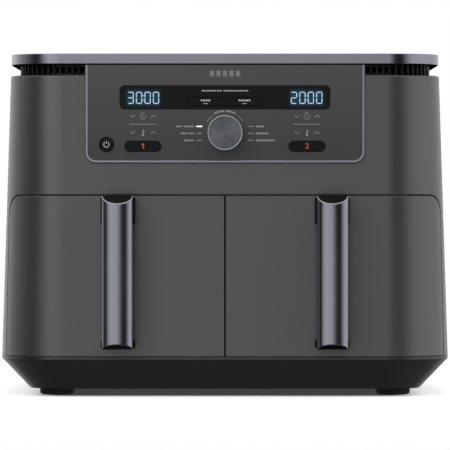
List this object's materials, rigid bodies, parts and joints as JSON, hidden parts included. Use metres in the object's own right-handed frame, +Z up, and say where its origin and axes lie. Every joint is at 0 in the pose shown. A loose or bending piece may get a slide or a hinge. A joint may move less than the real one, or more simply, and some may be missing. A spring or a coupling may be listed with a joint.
{
  "type": "air fryer",
  "caption": "Counter-top air fryer with twin pull-out drawers, half-oval metal-look handles, a central control panel with a push dial, and a flat lid over a ribbed vent neck.",
  "frame": {"origin": "centre of the footprint on the worktop, midway between the handles' front and the rear spacers", "axes": "+X to the right as seen from the front, -Y out of the front, +Z up"},
  "size_m": [0.415, 0.352, 0.315],
  "materials": {
    "base_plastic": "fine grain",
    "rubber": "matte",
    "screw_steel": "zinc plated",
    "body_metallic": "satin metallic paint",
    "frame_plastic": "heat-proof plastic",
    "rear_plastic": "fine grain",
    "vent_plastic": "satin black",
    "lid_plastic": "satin",
    "lid_metal": "satin plated",
    "fascia_plastic": "satin",
    "trim_metal": "satin plated",
    "window_gloss": "gloss, tinted",
    "led_plastic": "white segments",
    "circuit_board": "solder mask",
    "switch_plastic": "matte",
    "encoder_metal": "pressed",
    "galvanised_sheet": "galvanised",
    "probe_steel": "bright",
    "ceramic": "glazed",
    "chamber_sheet": "aluminised",
    "heater_steel": "heat tinted",
    "motor_steel": "zinc plated",
    "nonstick": "satin non-stick coat",
    "handle_plastic": "satin black",
    "handle_metal": "satin anodised",
    "knob_metal": "satin",
    "dial_metal": "spun",
    "shaft_steel": "ground",
    "nylon": "natural",
    "key_gloss": "gloss black",
    "fan_aluminium": "pressed"
  },
  "bodies": {
    "chassis": {"base_tray": "base_plastic", "rubber_feet": "rubber", "case_screws": "screw_steel", "housing_shell": "body_metallic", "front_frame": "frame_plastic", "rear_cover": "rear_plastic", "cord_gland": "rubber", "vent_neck": "vent_plastic", "lid_panel": "lid_plastic", "lid_rim": "lid_metal", "control_fascia": "fascia_plastic", "fascia_trim": "trim_metal", "display_window": "window_gloss", "display_modules": "led_plastic", "control_board": "circuit_board", "key_switches": "switch_plastic", "encoder_body": "encoder_metal", "power_board": "circuit_board", "motor_deck": "galvanised_sheet", "left_chamber": "chamber_sheet", "right_chamber": "chamber_sheet", "left_heater": "heater_steel", "right_heater": "heater_steel", "left_air_duct": "galvanised_sheet", "right_air_duct": "galvanised_sheet", "left_motor": "motor_steel", "right_motor": "motor_steel", "temperature_probes": "probe_steel", "thermal_fuses": "ceramic", "drawer_rails": "chamber_sheet", "drawer_switches": "switch_plastic"},
    "left_drawer": {"left_drawer_front": "body_metallic", "left_drawer_liner": "frame_plastic", "left_basket": "nonstick", "left_handle_core": "handle_plastic", "left_handle_cover": "handle_metal", "left_handle_screws": "screw_steel"},
    "left_plate": {"left_crisper_plate": "nonstick", "left_plate_bumpers": "rubber"},
    "left_rotor": {"left_fan": "fan_aluminium", "left_fan_shaft": "shaft_steel"},
    "right_drawer": {"right_drawer_front": "body_metallic", "right_drawer_liner": "frame_plastic", "right_basket": "nonstick", "right_handle_core": "handle_plastic", "right_handle_cover": "handle_metal", "right_handle_screws": "screw_steel"},
    "right_plate": {"right_crisper_plate": "nonstick", "right_plate_bumpers": "rubber"},
    "right_rotor": {"right_fan": "fan_aluminium", "right_fan_shaft": "shaft_steel"},
    "dial_press": {"encoder_plunger": "nylon"},
    "dial": {"dial_knob": "knob_metal", "dial_face": "dial_metal", "encoder_shaft": "shaft_steel"},
    "power_cap": {"power_button": "key_gloss"},
    "zone_1_cap": {"zone_1_button": "key_gloss"},
    "zone_2_cap": {"zone_2_button": "key_gloss"},
    "sync_cap": {"sync_key": "key_gloss"},
    "match_cap": {"match_key": "key_gloss"}
  },
  "joints": [
    {"name": "left_drawer_slide", "type": "slide", "parent": "chassis", "child": "left_drawer", "axis": [0, -1, 0], "range_m": [0, 0.25]},
    {"name": "left_plate_lift", "type": "slide", "parent": "left_drawer", "child": "left_plate", "axis": [0, 0, -1], "range_m": [-0.1, 0]},
    {"name": "left_fan_spin", "type": "hinge", "parent": "chassis", "child": "left_rotor", "pos_m": [-0.098, 0.022, 0.225], "axis": [0, 0, 1], "continuous": true},
    {"name": "right_drawer_slide", "type": "slide", "parent": "chassis", "child": "right_drawer", "axis": [0, -1, 0], "range_m": [0, 0.25]},
    {"name": "right_plate_lift", "type": "slide", "parent": "right_drawer", "child": "right_plate", "axis": [0, 0, -1], "range_m": [-0.1, 0]},
    {"name": "right_fan_spin", "type": "hinge", "parent": "chassis", "child": "right_rotor", "pos_m": [0.098, 0.022, 0.225], "axis": [0, 0, 1], "continuous": true},
    {"name": "dial_push", "type": "slide", "parent": "chassis", "child": "dial_press", "axis": [0, 1, 0], "range_m": [0, 0.001], "stiffness_N_per_m": 3000, "springref_m": -0.0003},
    {"name": "dial_turn", "type": "hinge", "parent": "dial_press", "child": "dial", "pos_m": [0, -0.14, 0.242], "axis": [0, -1, 0], "continuous": true},
    {"name": "power_press", "type": "slide", "parent": "chassis", "child": "power_cap", "axis": [0, 1, 0], "range_m": [0, 0.0008], "stiffness_N_per_m": 2000, "springref_m": -0.0003},
    {"name": "zone_1_press", "type": "slide", "parent": "chassis", "child": "zone_1_cap", "axis": [0, 1, 0], "range_m": [0, 0.0008], "stiffness_N_per_m": 2000, "springref_m": -0.0003},
    {"name": "zone_2_press", "type": "slide", "parent": "chassis", "child": "zone_2_cap", "axis": [0, 1, 0], "range_m": [0, 0.0008], "stiffness_N_per_m": 2000, "springref_m": -0.0003},
    {"name": "sync_press", "type": "slide", "parent": "chassis", "child": "sync_cap", "axis": [0, 1, 0], "range_m": [0, 0.0008], "stiffness_N_per_m": 2000, "springref_m": -0.0003},
    {"name": "match_press", "type": "slide", "parent": "chassis", "child": "match_cap", "axis": [0, 1, 0], "range_m": [0, 0.0008], "stiffness_N_per_m": 2000, "springref_m": -0.0003}
  ]
}
